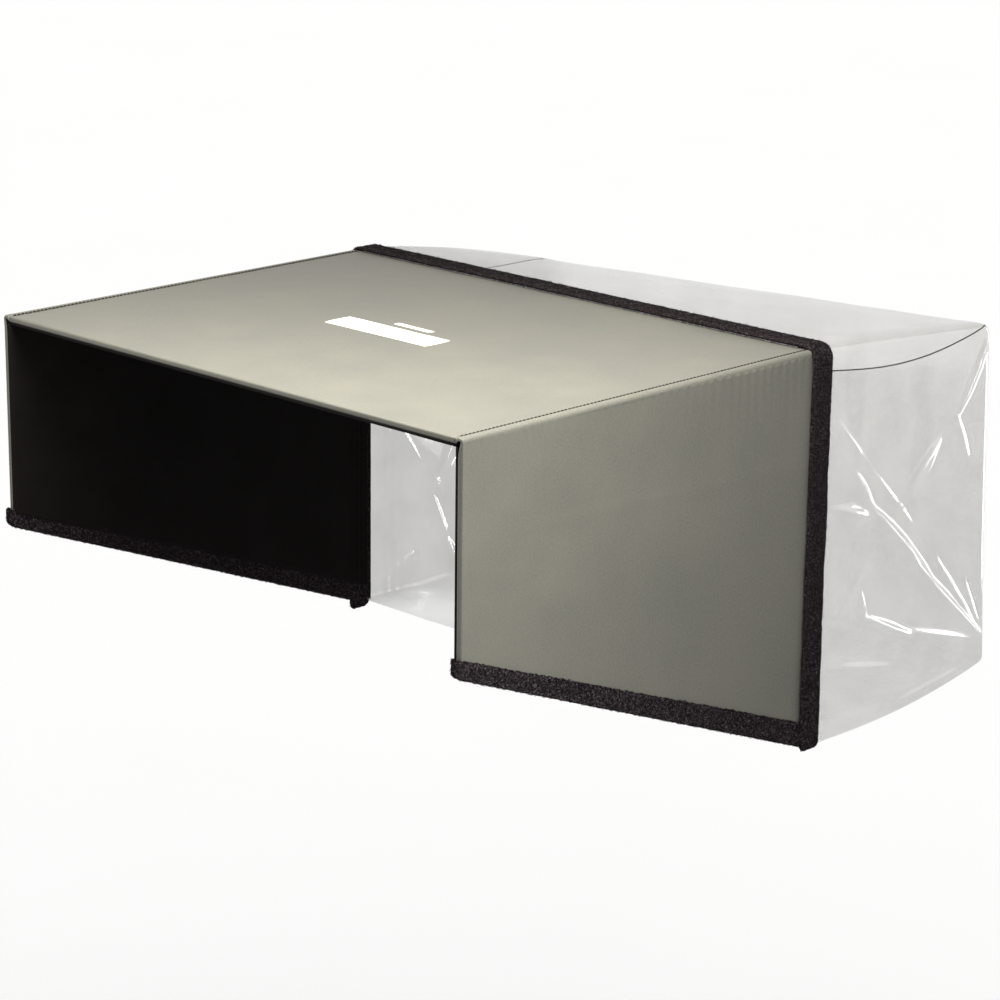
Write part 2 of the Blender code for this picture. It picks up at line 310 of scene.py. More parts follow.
class Shader:
    """A small helper that builds one material's nodes."""

    def __init__(self, name, roughness, **sockets):
        self.mat = bpy.data.materials.new(name)
        self.mat.use_nodes = True
        self.tree = self.mat.node_tree
        self.out = self.tree.nodes["Principled BSDF"]
        self.out.inputs["Roughness"].default_value = roughness
        for socket, value in sockets.items():
            self.out.inputs[socket.replace("_", " ")].default_value = value

    def node(self, kind, inputs=(), **settings):
        made = self.tree.nodes.new("ShaderNode" + kind)
        for key, value in settings.items():
            setattr(made, key, value)
        for key, value in dict(inputs).items():
            if isinstance(value, bpy.types.NodeSocket):
                self.tree.links.new(value, made.inputs[key])
            else:
                made.inputs[key].default_value = value
        return made

    def place(self, cut):
        """Where a point is: on the cut cloth in metres, or in the object's own space."""
        if cut:
            return self.node("UVMap", uv_map="cut").outputs["UV"]
        return self.node("TexCoord").outputs["Object"]

    def noise(self, place, size, detail=3.0, rough=0.55):
        inputs = {"Vector": place, "Scale": 1 / size, "Detail": detail, "Roughness": rough}
        return self.node("TexNoise", inputs).outputs["Fac"]

    def math(self, operation, a, b=0.0):
        return self.node("Math", {0: a, 1: b}, operation=operation).outputs[0]

    def span(self, value, low, high, to_low=0.0, to_high=1.0):
        inputs = {0: value, 1: low, 2: high, 3: to_low, 4: to_high}
        return self.node("MapRange", inputs).outputs[0]

    def mix(self, share, a, b):
        a, b = (c if isinstance(c, bpy.types.NodeSocket) else (*c, 1.0) for c in (a, b))
        return self.node("Mix", {0: share, 6: a, 7: b}, data_type="RGBA").outputs[2]

    def bump(self, height, distance, strength=1.0, under=None):
        inputs = {"Height": height, "Distance": distance, "Strength": strength}
        if under is not None:
            inputs["Normal"] = under
        return self.node("Bump", inputs).outputs["Normal"]

    def weave(self, place, pitch):
        """Height of a plain weave, from two crossed waves."""
        axes = self.node("SeparateXYZ", {0: place}).outputs
        turns = [self.math("SINE", self.math("MULTIPLY", axes[i], 2 * pi / pitch)) for i in (0, 1)]
        return self.math("MULTIPLY", *turns)

    def set(self, socket, value):
        self.tree.links.new(value, self.out.inputs[socket])


def shell_material():
    """Coated grey-olive cloth with a fine weave and a soft sheen."""
    s = Shader("coated_cloth", 0.55, Specular_IOR_Level=0.22, Sheen_Weight=0.04,
               Sheen_Roughness=0.45, Sheen_Tint=(0.95, 0.93, 0.86, 1))
    cut = s.place(True)
    clouds = s.noise(cut, 0.055, 4)
    grain = s.noise(cut, 0.0016, 2)
    weave = s.weave(cut, WEAVE_PITCH)
    base = s.mix(s.span(clouds, 0.3, 0.7), (0.049, 0.050, 0.043), (0.062, 0.061, 0.051))
    base = s.mix(s.span(grain, 0.35, 0.7, 0, 0.45), base, (0.086, 0.084, 0.071))
    base = s.mix(s.span(weave, -1, 1, 0, 0.3), base, (0.034, 0.035, 0.030))
    s.set("Base Color", base)
    s.set("Roughness", s.span(clouds, 0.3, 0.7, 0.50, 0.62))
    soft = s.bump(clouds, 0.0006, 0.35)
    s.set("Normal", s.bump(weave, 0.00006, 0.5, s.bump(grain, 0.0001, 0.4, soft)))
    return s.mat


def lining_material():
    """Matt black lining with a faint weave."""
    s = Shader("black_lining", 0.9, Specular_IOR_Level=0.06)
    cut = s.place(True)
    weave = s.weave(cut, 0.0011)
    clouds = s.noise(cut, 0.04)
    base = s.mix(s.span(weave, -1, 1), (0.0016, 0.0013, 0.0012), (0.0034, 0.0027, 0.0024))
    s.set("Base Color", s.mix(s.span(clouds, 0.4, 0.7, 0, 0.3), base, (0.006, 0.005, 0.005)))
    s.set("Normal", s.bump(weave, 0.0001, 0.35))
    return s.mat


def tape_material():
    """Fuzzy purple-black loop tape: a herringbone of matted loops with paler fibres.

    Where it crosses the top, the tape's colour is painted darker, a painted shade."""
    s = Shader("loop_tape", 0.95, Specular_IOR_Level=0.05)
    place = s.place(False)
    flecks = s.noise(place, 0.0011, 3, 0.7)
    patches = s.noise(place, 0.006, 2)
    run, width, _ = s.node("SeparateXYZ", {0: s.place(True)}).outputs
    zigzag = s.math("PINGPONG", width, 0.0019)
    rows = s.math("SINE", s.math("MULTIPLY", s.math("ADD", run, zigzag), 2 * pi / BRAID_PITCH))
    light = s.math("ADD", s.math("MULTIPLY", rows, 0.075), flecks)
    base = s.mix(s.span(light, 0.54, 0.76), (0.0018, 0.0012, 0.0016), (0.105, 0.085, 0.098))
    base = s.mix(s.span(patches, 0.35, 0.65, 0, 0.3), base, (0.006, 0.0045, 0.0055))
    height = s.node("SeparateXYZ", {0: place}).outputs[2]
    # painted shade: the tape's colour is darkened towards its top, where it crosses the top panel
    painted_top_shade = s.span(height, TOP_Z - 0.008, TOP_Z + 0.002, 0, 0.45)
    s.set("Base Color", s.mix(painted_top_shade, base, (0.004, 0.003, 0.0035)))
    s.set("Normal", s.bump(light, 0.0006, 0.8))
    return s.mat


def thread_material():
    """Twisted dark sewing thread."""
    s = Shader("dark_thread", 0.8, Specular_IOR_Level=0.06)
    place = s.place(False)
    twist = s.noise(place, 0.0004, 2)
    s.set("Base Color", s.mix(twist, (0.0035, 0.0025, 0.0022), (0.016, 0.012, 0.010)))
    s.set("Normal", s.bump(twist, 0.0002, 0.6))
    return s.mat


def vinyl_material():
    """Thin clear vinyl: a grey film with a gloss, haze and fine scuffs; on the left wall it is
    painted darker and more opaque, a painted shade.
    """
    s = Shader("clear_vinyl", 0.07, IOR=1.85)
    place = s.place(False)
    haze = s.noise(place, 0.035, 3)
    scuffs = s.noise(place, 0.004, 4, 0.7)
    # painted shade: this mask darkens the film's colour and raises its opacity on the left wall
    left = s.span(s.node("SeparateXYZ", {0: place}).outputs[0], -0.212, -0.175, 1, 0)
    base = s.mix(haze, (0.080, 0.075, 0.068), (0.12, 0.115, 0.105))
    s.set("Base Color", s.mix(left, base, (0.052, 0.042, 0.035)))
    s.set("Roughness", s.span(scuffs, 0.45, 0.75, 0.06, 0.16))
    film = s.span(haze, 0.3, 0.7, 0.29, 0.37)
    # the left wall's extra opacity is part of the painted shade
    s.set("Alpha", s.math("ADD", film, s.math("MULTIPLY", left, 0.18)))
    s.set("Normal", s.bump(scuffs, 0.00005, 0.15))
    return s.mat


def board_material():
    """Black twin-wall plastic board; its flutes run up and down."""
    s = Shader("twin_wall_board", 0.55)
    place = s.place(False)
    axes = s.node("SeparateXYZ", {0: place}).outputs
    flutes = s.math("SINE", s.math("MULTIPLY", axes[1], 2 * pi / FLUTE_PITCH))
    grime = s.noise(place, 0.02)
    s.set("Base Color", s.mix(grime, (0.018, 0.018, 0.018), (0.035, 0.034, 0.032)))
    s.set("Normal", s.bump(flutes, 0.0004, 0.5))
    return s.mat


def hook_material():
    """Hook tape: rows of tiny hooks on a woven black strip."""
    s = Shader("hook_tape", 0.5)
    place = s.place(False)
    hooks = s.node("TexVoronoi", {"Vector": place, "Scale": 1 / 0.0014}).outputs["Distance"]
    s.set("Base Color", s.mix(hooks, (0.045, 0.042, 0.045), (0.008, 0.007, 0.008)))
    s.set("Normal", s.bump(s.math("SUBTRACT", 1.0, hooks), 0.0008, 0.9))
    return s.mat


def ink_material():
    """White printed ink, slightly worn so that the weave shows through."""
    s = Shader("white_ink", 0.55)
    cut = s.place(True)
    wear = s.noise(cut, 0.0022, 3)
    s.set("Base Color", s.mix(s.span(wear, 0.3, 0.6), (0.30, 0.29, 0.26), (0.52, 0.51, 0.47)))
    s.set("Normal", s.bump(s.weave(cut, WEAVE_PITCH), 0.00006, 0.4))
    return s.mat


def floor_material():
    """Plain pale floor."""
    s = Shader("pale_floor", 0.9)
    place = s.place(False)
    s.set("Base Color", s.mix(s.noise(place, 0.4), (0.93, 0.93, 0.925), (0.95, 0.95, 0.945)))
    return s.mat


# ---------------------------------------------------------------- cloth panels


def low_edge(y):
    """Height of a side panel's sloping bottom edge."""
    return lerp(FRONT_LOW_Z, REAR_LOW_Z, (y - FRONT_Y) / (REAR_Y - FRONT_Y))


def binding_top(y):
    share = (y - BINDING_FRONT_Y) / (REAR_Y - BINDING_FRONT_Y)
    reach = BINDING_X - HALF
    return low_edge(y) - reach + lerp(BINDING_HEIGHT_FRONT, BINDING_HEIGHT_REAR, share)


def wrap(depth, radius, step):
    """(y, depth) round the front edge of a panel, along its face, and round its rear."""
    rear = REAR_Y + REAR_GAP
    angles = np.linspace(0, pi / 2, 5)
    turned = np.linspace(depth, radius, 4)[:-1]
    flat = np.linspace(FRONT_Y + radius, rear - radius, round((rear - FRONT_Y) / step))[1:-1]
    front = [(FRONT_Y, d) for d in turned]
    front += [(FRONT_Y + radius * (1 - cos(a)), radius * (1 - sin(a))) for a in angles]
    back = [(rear - (y - FRONT_Y), d) for y, d in reversed(front)]
    return np.array(front + [(y, 0.0) for y in flat] + back)


def on_face(depth):
    """1 on the open face of a panel and 0 where the cloth turns in."""
    return (depth < 1e-6).astype(float)


def top_relief(x, y):
    """Height of the top cloth's slow waves, and of the pull of the side stitching."""
    place = np.stack([x, y, 0 * x], axis=-1)
    waves = 0.00010 * ripple(place, 3, 0.09) + 0.000035 * ripple(place, 4, 0.018)
    edge = INNER - np.abs(x)
    groove = -0.00065 * bell(edge, 0.0010) + 0.00035 * bell(edge - 0.0026, 0.0014)
    pitch = 0.5 + 0.5 * np.sin(2 * pi * y / TOP_STITCH_PITCH)
    pull = -0.00022 * np.exp(-np.maximum(edge, 0) / 0.004) * pitch
    return waves + groove + pull


def top_cloth(mats):
    path = wrap(TURN_IN, EDGE_RADIUS, step=0.0022)
    x = np.linspace(-INNER, INNER, 190)
    x, y = np.meshgrid(x, path[:, 0])
    depth = np.repeat(path[:, 1:], x.shape[1], axis=1)
    z = TOP_Z - depth + top_relief(x, y) * on_face(depth)
    obj = grid_object("top_cloth", np.stack([x, y, z], axis=-1), CLOTH)
    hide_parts("top_outer_skin", "top_front_hem")
    return finish_piece(obj, mats["shell"], "top_panel")


def top_lining_cloth(mats):
    path = wrap(LINING_DEPTH, LINING_RADIUS, step=0.004)
    x = np.linspace(-INNER, INNER, 100)
    x, y = np.meshgrid(x, path[:, 0])
    depth = np.repeat(path[:, 1:], x.shape[1], axis=1)
    place = np.stack([x, y, 0 * x], axis=-1)
    z = depth - 0.00012 * (1 + ripple(place, 5, 0.07) / 2) * on_face(depth)
    obj = grid_object("top_lining_cloth", np.stack([x, y, z], axis=-1), CLOTH, flip=True)
    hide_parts("top_lining")
    return finish_piece(obj, mats["lining"], "top_panel")


def side_profile():
    """Down the outside of a side: distance in from the outer face, height, normal, share.

    The share runs from 0 at the corner to 1 at the sloping bottom edge."""
    radius = CORNER_RADIUS
    rows = [(d, TOP_Z, 0.0, 1.0, 0.0) for d in np.linspace(PANEL, radius, 5)[:-1]]
    for angle in np.linspace(pi / 2, 0, 8):
        inset, height = radius * (1 - cos(angle)), TOP_Z - radius * (1 - sin(angle))
        rows.append((inset, height, cos(angle), sin(angle), 0.0))
    rows += [(0.0, 0.0, 1.0, 0.0, share) for share in np.linspace(0, 1, 96)[1:] ** 1.35]
    return np.array(rows)


def pucker_relief(side, y, z):
    """Puckers under the sewn corner, faint flutes of the board and a long soft crease."""
    below = np.maximum(TOP_Z - z, 0)
    place = np.stack([0 * y + side, y, z], axis=-1)
    drift = 0.9 * ripple(place * (1, 1, 0), 11, 0.07) + 0.5 * ripple(place, 12, 0.12)
    waves = np.sin(2 * pi * y / PUCKER_PITCH + drift)
    rear = 0.18 + 0.82 * ease((y + 0.16) / 0.14)
    length = 0.020 + 0.016 * (1 + ripple(place * (0, 1, 0), 13, 0.02)) / 2
    puckers = 0.00056 * waves * rear * np.exp(-((below / length) ** 1.6)) * ease(below / 0.0022)
    flutes = 0.000035 * np.sin(4 * pi * y / PUCKER_PITCH + 0.4 * drift)
    off, share = segment_distance(y, z, (FRONT_Y, -0.056), (REAR_Y, -0.069))
    crease = 0.00016 * bell(off, 0.004) * ease(share * 3)
    broad = 0.00022 * ripple(place, 15, 0.13)
    return puckers + flutes + crease + broad


def side_cloth(side, word, mats):
    """A side panel's outer cloth, with the corner that is its hinge."""
    path, profile = wrap(TURN_IN, EDGE_RADIUS, step=0.0019), side_profile()
    y = path[:, 0][:, None] + 0 * profile[:, 0][None]
    depth = path[:, 1][:, None] + 0 * y
    inset, height, out_x, out_z, share = (profile[:, i][None] + 0 * y for i in range(5))
    low = low_edge(np.clip(y, FRONT_Y, REAR_Y)) + 0.001
    on_side = share > 0
    z = np.where(on_side, lerp(TOP_Z - CORNER_RADIUS, low, share), height)
    near_corner = bell(np.maximum(np.abs(inset), np.abs(TOP_Z - z)), 0.0065)
    depth = depth * (1 - 0.62 * near_corner)
    room = ease((LAP_Y - 0.001 - y) / 0.006) * ease((z - binding_top(y) + 0.002) / 0.004)
    relief = pucker_relief(side, y, z) * on_face(depth) * np.where(on_side, room, 0)
    relief += 0.00010 * bell(y - FRONT_Y, 0.006)
    groove = -0.0006 * bell(PANEL - inset, 0.0010) * (1 - on_side)
    move = relief - depth + groove
    x = side * (HALF - inset + move * out_x)
    points = np.stack([x, y, z + move * out_z], axis=-1)
    obj = grid_object(f"{word}_side_cloth", points, CLOTH, flip=side > 0)
    finish_piece(obj, mats["shell"])
    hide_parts(f"{word}_outer_skin", f"{word}_front_hem", f"{word}_hinge_cloth")
    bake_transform(obj)
    return obj


def side_lining_cloth(side, word, mats):
    """A side panel's lining, ribbed where the hook tape is sewn on behind it."""
    path = wrap(LINING_DEPTH, LINING_RADIUS, step=0.0013)
    share = np.linspace(0, 1, 70) ** 1.3
    y = path[:, 0][:, None] + 0 * share[None]
    depth = path[:, 1][:, None] + 0 * y
    low = binding_top(np.clip(y, FRONT_Y, REAR_Y)) - 0.003
    z = lerp(-0.0003, low, share[None])
    place = np.stack([0 * y + side, y, z], axis=-1)
    stand = 0.00012 * (1 + ripple(place, 21, 0.08) / 2) * on_face(depth)
    sewn = ease((y - LAP_Y + 0.007) / 0.002) * on_face(depth)
    stand += 0.0004 * sewn * (0.8 + np.cos(2 * pi * (y - LAP_Y) / 0.0046))
    x = side * (INNER - stand + depth)
    points = np.stack([x, y, z], axis=-1)
    obj = grid_object(f"{word}_lining_cloth", points, CLOTH, flip=side < 0)
    finish_piece(obj, mats["lining"])
    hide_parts(f"{word}_lining")
    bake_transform(obj)
    return obj


def printed_mark(mats):
    """A plain white printed badge: a bar with a thin rule beside it, no lettering."""
    pieces = []
    for y0, y1, x0, x1 in ((-0.160, -0.137, -0.058, 0.038), (-0.131, -0.126, -0.022, 0.012)):
        x, y = np.meshgrid(np.linspace(x0, x1, 60), np.linspace(y0, y1, 16))
        middle_x, middle_y = (x0 + x1) / 2, (y0 + y1) / 2
        round_x = np.clip(np.abs(y - middle_y) / (y1 - y0) * 2, 0, 1) ** 4
        x = middle_x + (x - middle_x) * (1 - 0.02 * round_x)
        z = TOP_Z + top_relief(x, y) + 0.00006
        pieces.append(grid_object("printed_bar", np.stack([x, y, z], axis=-1), 0))
    obj = join("printed_badge", pieces)
    return finish_piece(obj, mats["ink"], "top_panel")


# ---------------------------------------------------------------- stitches


STITCH_LENGTH = 0.0024
# One stitch from end to end: along the seam, above the cloth, share of its radius.
STITCH_LINE = [
    (-0.0012, -0.0002, 0.35),
    (-0.0009, 0.0000, 0.85),
    (-0.0004, 0.0002, 1.0),
    (0.0004, 0.0002, 1.0),
    (0.0009, 0.0000, 0.85),
    (0.0012, -0.0002, 0.35),
]


def stitches(name, points, normals, mats, length=0.0025, radius=0.00044):
    """Separate stitches of thread along a row of evenly spaced points."""
    points, normals = np.array(points), np.array(normals)
    direction = np.gradient(points, axis=0)
    stretch = length / STITCH_LENGTH
    line = [(a * stretch, h, r) for a, h, r in STITCH_LINE]
    obj = small_tubes(name, points, direction, normals, line, radius, 6)
    return finish_piece(obj, mats["thread"])


def spaced(points, step):
    """The same line with evenly spaced points."""
    points = np.array(points, float)
    lengths = np.linalg.norm(np.diff(points, axis=0), axis=1)
    along = np.concatenate([[0], np.cumsum(lengths)])
    at = np.arange(step / 2, along[-1], step)
    return np.stack([np.interp(at, along, points[:, k]) for k in range(points.shape[1])], axis=1)


def top_stitches(side, word, mats):
    """The row of stitches beside a folded corner."""
    x = side * INNER
    line = spaced([(x, FRONT_Y + 0.003, TOP_Z), (x, LAP_Y - 0.0006, TOP_Z)], TOP_STITCH_PITCH)
    line[:, 2] = TOP_Z + 0.00006
    normals = np.tile((0.0, 0.0, 1.0), (len(line), 1))
    obj = stitches(f"{word}_top_stitches", line, normals, mats)
    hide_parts(f"{word}_top_stitching")
    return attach(obj, "top_panel")


# ---------------------------------------------------------------- loop tape


def fuzz(points, seed, coarse, fine):
    """How far each point of a dense grid stands out or in, like matted loops."""
    rng = np.random.default_rng(seed)
    grain = rng.normal(size=points.shape[:2])
    for axis in (0, 1):
        grain = (grain + np.roll(grain, 1, axis) + np.roll(grain, -1, axis)) / 3
    lumps = ripple(points, seed + 1, 0.0036) + 0.6 * ripple(points, seed + 2, 0.0019)
    return coarse * lumps / 1.6 + fine * grain * 2.2


def loops(name, points, normals, count, seed, size):
    """Small arches of fibre standing on a tape."""
    rng = np.random.default_rng(seed)
    pick = rng.integers(0, len(points), count)
    centres, up = points[pick], normals[pick]
    lean = up + rng.normal(scale=0.45, size=up.shape)
    lean /= np.linalg.norm(lean, axis=1)[:, None]
    direction = np.cross(lean, rng.normal(size=up.shape))
    bins = np.array_split(np.arange(count), 3)
    made = []
    for i, chosen in enumerate(bins):
        width = size * (0.7 + 0.35 * i)
        angles = np.linspace(0, pi, 6)
        line = [(-width * cos(a), width * 1.2 * sin(a) - 0.0002, 1.0) for a in angles]
        made.append(
            small_tubes(f"{name}_{i}", centres[chosen], direction[chosen], lean[chosen],
                        line, 0.00011, 3)
        )
    return made


def fibre_tape(name, points, thickness, flip, seed, count, coarse, fine):
    """A dense tape with a matted surface and loops of fibre standing on it."""
    outward = grid_normals(points) * (1 if flip else -1)
    points = points + outward * fuzz(points, seed, coarse, fine)[:, :, None]
    obj = apply_modifiers(grid_object(name, points, thickness, flip=flip))
    standing = loops(
        name + "_loops", points.reshape(-1, 3), outward.reshape(-1, 3), count, seed + 9, 0.0005
    )
    return join(name, [obj, *standing])


def binding_section(y, front):
    """Round one side panel's bottom edge, outer face to inner face, as (out, z)."""
    radius = BINDING_X - HALF
    low, high = float(low_edge(y)) - radius, float(binding_top(y))
    share = min(max((y - front) / 0.006, 0.0), 1.0)
    nose = (1 - (1 - share) ** 2) ** 0.5
    outer, inner = HALF + radius, INNER - 0.0003
    bend_out = [(outer - radius + radius * cos(a), low + radius - radius * sin(a))
                for a in np.linspace(0, pi / 2, 6)]
    bend_in = [(inner + radius - radius * sin(a), low + radius - radius * cos(a))
               for a in np.linspace(0, pi / 2, 6)]
    line = [(outer, high), *bend_out, *bend_in, (inner, high)]
    middle_x, middle_z = HALF - PANEL / 2, (low + high) / 2 + 0.0015
    squeeze = 0.12 + 0.88 * nose
    return [(middle_x + (x - middle_x) * squeeze, middle_z + (z - middle_z) * (0.35 + 0.65 * nose))
            for x, z in line]


def evenly(line, count):
    """The same flat line with a set number of evenly spaced points, ends included."""
    line = np.array(line, float)
    along = np.concatenate([[0], np.cumsum(np.linalg.norm(np.diff(line, axis=0), axis=1))])
    at = np.linspace(0, along[-1], count)
    return np.stack([np.interp(at, along, line[:, k]) for k in range(2)], axis=1)


def bottom_binding(side, word, mats):
    """Loop tape folded round a side panel's bottom edge, with a ragged top edge."""
    front = BINDING_FRONT_Y - 0.001
    stations = np.linspace(front, REAR_Y, 560)
    rng = np.random.default_rng(31 + side)
    rows = []
    for y in stations:
        section = evenly(binding_section(y, front), 74)
        rows.append([(side * x, y, z) for x, z in section])
    points = np.array(rows)
    ragged = rng.normal(scale=0.00022, size=len(stations))
    ragged = np.convolve(ragged, np.ones(4) / 2, mode="same")
    for edge in (0, 1, -1, -2):
        points[:, edge, 2] += ragged
    name = f"{word}_loop_binding"
    obj = fibre_tape(name, points, 0.0009, side < 0, 41 + side, 3000, 0.00015, 0.00009)
    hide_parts(f"{word}_bottom_binding")
    return finish_piece(obj, mats["tape"], f"{word}_side")


def tape_line(offset, radius):
    """Up the left side, over the top and down the right, outside the panels, as (x, z)."""
    x, z = HALF + offset, TOP_Z + offset
    left = [(-x + radius - radius * cos(a), z - radius + radius * sin(a))
            for a in np.linspace(0, pi / 2, 9)]
    right = [(-px, pz) for px, pz in reversed(left)]
    return [(-x, FLOOR_Z), *left, *right, (x, FLOOR_Z)]


def inner_tape():
    """The half of the tape that is folded inside the film, with its woven ribs."""
    line = evenly(tape_line(0.0011, 0.0078), 700)
    across = np.linspace(0, 1, 30)
    y = lerp(COVER_Y + 0.0004, TAPE_END_Y, across)[:, None] + 0 * line[:, 0][None]
    x, z = line[:, 0][None] + 0 * y, line[:, 1][None] + 0 * y
    points = np.stack([x, y, z], axis=-1)
    inward = grid_normals(points)
    ribs = 0.00022 * (np.cos(2 * pi * across * 3) - 1)[:, None]
    points = points - inward * (ribs + fuzz(points, 58, 0.00006, 0.00005))[:, :, None]
    return apply_modifiers(grid_object("inner_tape", points, 0.0005))


def rear_tape(mats):
    """The loop tape round the rear edge, with rounded ends; the left end hangs lower."""
    offset = TAPE_X - HALF
    line = evenly(tape_line(offset, TAPE_CORNER), 1500)
    across = np.linspace(0, 1, 42)
    y = lerp(LAP_Y, TAPE_END_Y, across)[:, None] + 0 * line[:, 0][None]
    x = line[:, 0][None] + 0 * y
    z = line[:, 1][None] + 0 * y
    run = np.linspace(0, 1, len(line)) * TAPE_RUN
    low = ease((-z - 0.15) / 0.11)
    wander = 0.0003 * ripple(np.stack([0 * x, 0 * x, run[None] + 0 * x], axis=-1), 51, 0.05)
    y = y + wander
    end = np.clip((FLOOR_Z + 0.005 - z) / 0.005, 0, 1)
    middle_y = (LAP_Y + TAPE_END_Y) / 2
    y = middle_y + (y - middle_y) * (1 - 0.42 * (1 - np.sqrt(1 - 0.98 * end**2)))
    z = z - TAPE_LEFT_DROP * low**3 * (x < 0)
    points = np.stack([x + np.sign(x) * 0.0006 * low, y, z], axis=-1)
    column = np.abs(((across * 5) % 1) - 0.5)[:, None] * 0.0034
    braid = np.sin(2 * pi * (run[None] + column) / BRAID_PITCH)
    edge = np.minimum(across, 1 - across)[:, None]
    outward = -grid_normals(points)
    raise_by = 0.00022 * braid - 0.00040 * bell(edge, 0.035)
    points = points + outward * raise_by[:, :, None]
    obj = fibre_tape("rear_loop_tape", points, 0.0010, False, 61, 6500, 0.00013, 0.00008)
    obj = join("rear_loop_tape", [obj, inner_tape()])
    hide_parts("cover_edge_tape")
    return finish_piece(obj, mats["tape"], "rear_cover")


def tape_stitches(mats):
    """The row of stitches along the front edge of the rear tape."""
    lift = TAPE_X - HALF + 0.0001
    line = spaced(tape_line(lift, TAPE_CORNER + 0.0001), TAPE_STITCH_PITCH)
    points, normals = [], []
    for x, z in line:
        if abs(x) > HALF:
            normal = (np.sign(x), 0.0, 0.0)
        elif z > TOP_Z + lift - 0.0002:
            normal = (0.0, 0.0, 1.0)
        else:
            normal = (np.sign(x) * 0.7, 0.0, 0.7)
        points.append((x, LAP_Y + 0.0019, z))
        normals.append(normal)
    obj = stitches("rear_tape_stitches", points, normals, mats)
    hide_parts("edge_tape_stitching")
    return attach(obj, "rear_cover")


# ---------------------------------------------------------------- clear cover


def cover_top_z(s, side):
    return TOP_Z + (COVER_X - HALF) - COVER_DROP[side] * s**1.4


def cover_seam_z(s, side):
    below = lerp(COVER_SEAM_FRONT, COVER_SEAM_REAR, s) + COVER_SEAM_SAG * np.sin(pi * s)
    return cover_top_z(s, side) - below


def cover_place(a, b, s):
    """A point of the bag: a across and b up, both from -1 to 1, and s from front to rear."""
    radius = COVER_CORNER + COVER_CORNER_GROWTH * float(np.sin(pi * min(s + 0.02, 1.0))) ** 0.6
    half = COVER_X - COVER_TAPER * s
    x = a * half
    left, right = cover_top_z(s, -1), cover_top_z(s, 1)
    top = lerp(left, right, (a + 1) / 2)
    low = FLOOR_Z + COVER_BOTTOM_RISE * s**3
    z = lerp(low, top, (b + 1) / 2)
    corner_x = np.maximum(np.abs(x) - (half - radius), 0) / radius
    corner_z = np.maximum(z - (top - radius), 0) / radius
    reach = np.hypot(corner_x, corner_z)
    scale = np.where(reach > 1, 1 / np.maximum(reach, 1e-9), 1)
    inside = (corner_x > 0) & (corner_z > 0)
    x = np.where(inside, np.sign(x) * (half - radius + radius * corner_x * scale), x)
    z = np.where(inside, top - radius + radius * corner_z * scale, z)
    rise = (z - FLOOR_Z) / (TOP_Z - FLOOR_Z)
    rear = lerp(COVER_REAR_BOTTOM - 0.001, COVER_REAR_TOP, rise)
    return np.stack([x, lerp(TAPE_END_Y - 0.004, rear, s), z], axis=-1)


def bag_mesh():
    """A box open at the front, as one welded grid: its ring of walls and its back."""
    nx, nz, ny = COVER_CELLS
    a, b = np.linspace(-1, 1, nx + 1), np.linspace(-1, 1, nz + 1)
    ring = [(p, 1.0) for p in a[:-1]] + [(1.0, p) for p in b[::-1][:-1]]
    ring += [(p, -1.0) for p in a[::-1][:-1]] + [(-1.0, p) for p in b[:-1]]
    ring = np.array(ring)
    depth = np.linspace(0, 1, ny + 1)
    rows = [cover_place(ring[:, 0], ring[:, 1], s) for s in depth]
    verts = np.concatenate(rows)
    faces = grid_faces(ny + 1, len(ring), closed=True)
    inner_a, inner_b = np.meshgrid(a[1:-1], b[1:-1])
    back = cover_place(inner_a.ravel(), inner_b.ravel(), 1.0)
    start = len(verts)
    index = np.zeros((nz + 1, nx + 1), int)
    index[1:-1, 1:-1] = start + np.arange((nz - 1) * (nx - 1)).reshape(nz - 1, nx - 1)
    last = ny * len(ring)  # the rim of the back is the ring's last row
    index[nz, :nx] = last + np.arange(nx)
    index[:, nx][::-1][:nz] = last + nx + np.arange(nz)
    index[0, ::-1][:nx] = last + nx + nz + np.arange(nx)
    index[:nz, 0] = last + 2 * nx + nz + np.arange(nz)
    corners = (index[:-1, :-1], index[1:, :-1], index[1:, 1:], index[:-1, 1:])
    back_faces = np.stack(corners, axis=-1).reshape(-1, 4)
    return np.concatenate([verts, back]), np.concatenate([faces, back_faces])


def calmed(moved, edges, rounds):
    """Spreads the movement of the vertices to their neighbours, so only broad waves stay."""
    a, b = np.concatenate([edges, edges[:, ::-1]]).T
    degree = np.bincount(a, minlength=len(moved))[:, None]
    for _ in range(rounds):
        around = [np.bincount(a, weights=moved[b, k], minlength=len(moved)) for k in range(3)]
        moved = 0.5 * moved + 0.5 * np.stack(around, axis=1) / degree
    return moved


def near_wall(x, side):
    """1 on one side wall of the cover and 0 further in."""
    return ease((side * x - 0.19) / 0.02)


def settle_cover(obj, verts, hold):
    """Drapes the cover, then takes out the small buckles, most of all where it is taut."""
    drape_cover(obj, hold)
    mesh = obj.data
    draped, edges = np.zeros(len(verts) * 3), np.zeros(len(mesh.edges) * 2, int)
    mesh.vertices.foreach_get("co", draped)
    mesh.edges.foreach_get("vertices", edges)
    moved = draped.reshape(-1, 3) - verts
    edges = edges.reshape(-1, 2)
    some = calmed(moved, edges, CALMING_ROUNDS)
    taut = np.maximum(near_wall(verts[:, 0], 1), ease((verts[:, 2] + 0.04) / 0.02))
    moved = lerp(some, calmed(some, edges, TAUT_CALMING_ROUNDS), taut[:, None])
    gathered = near_wall(verts[:, 0], -1) * ease((0.085 - verts[:, 1]) / 0.025)
    moved *= 1 - 0.8 * gathered[:, None]
    mesh.vertices.foreach_set("co", (verts + moved).ravel())
    mesh.update()


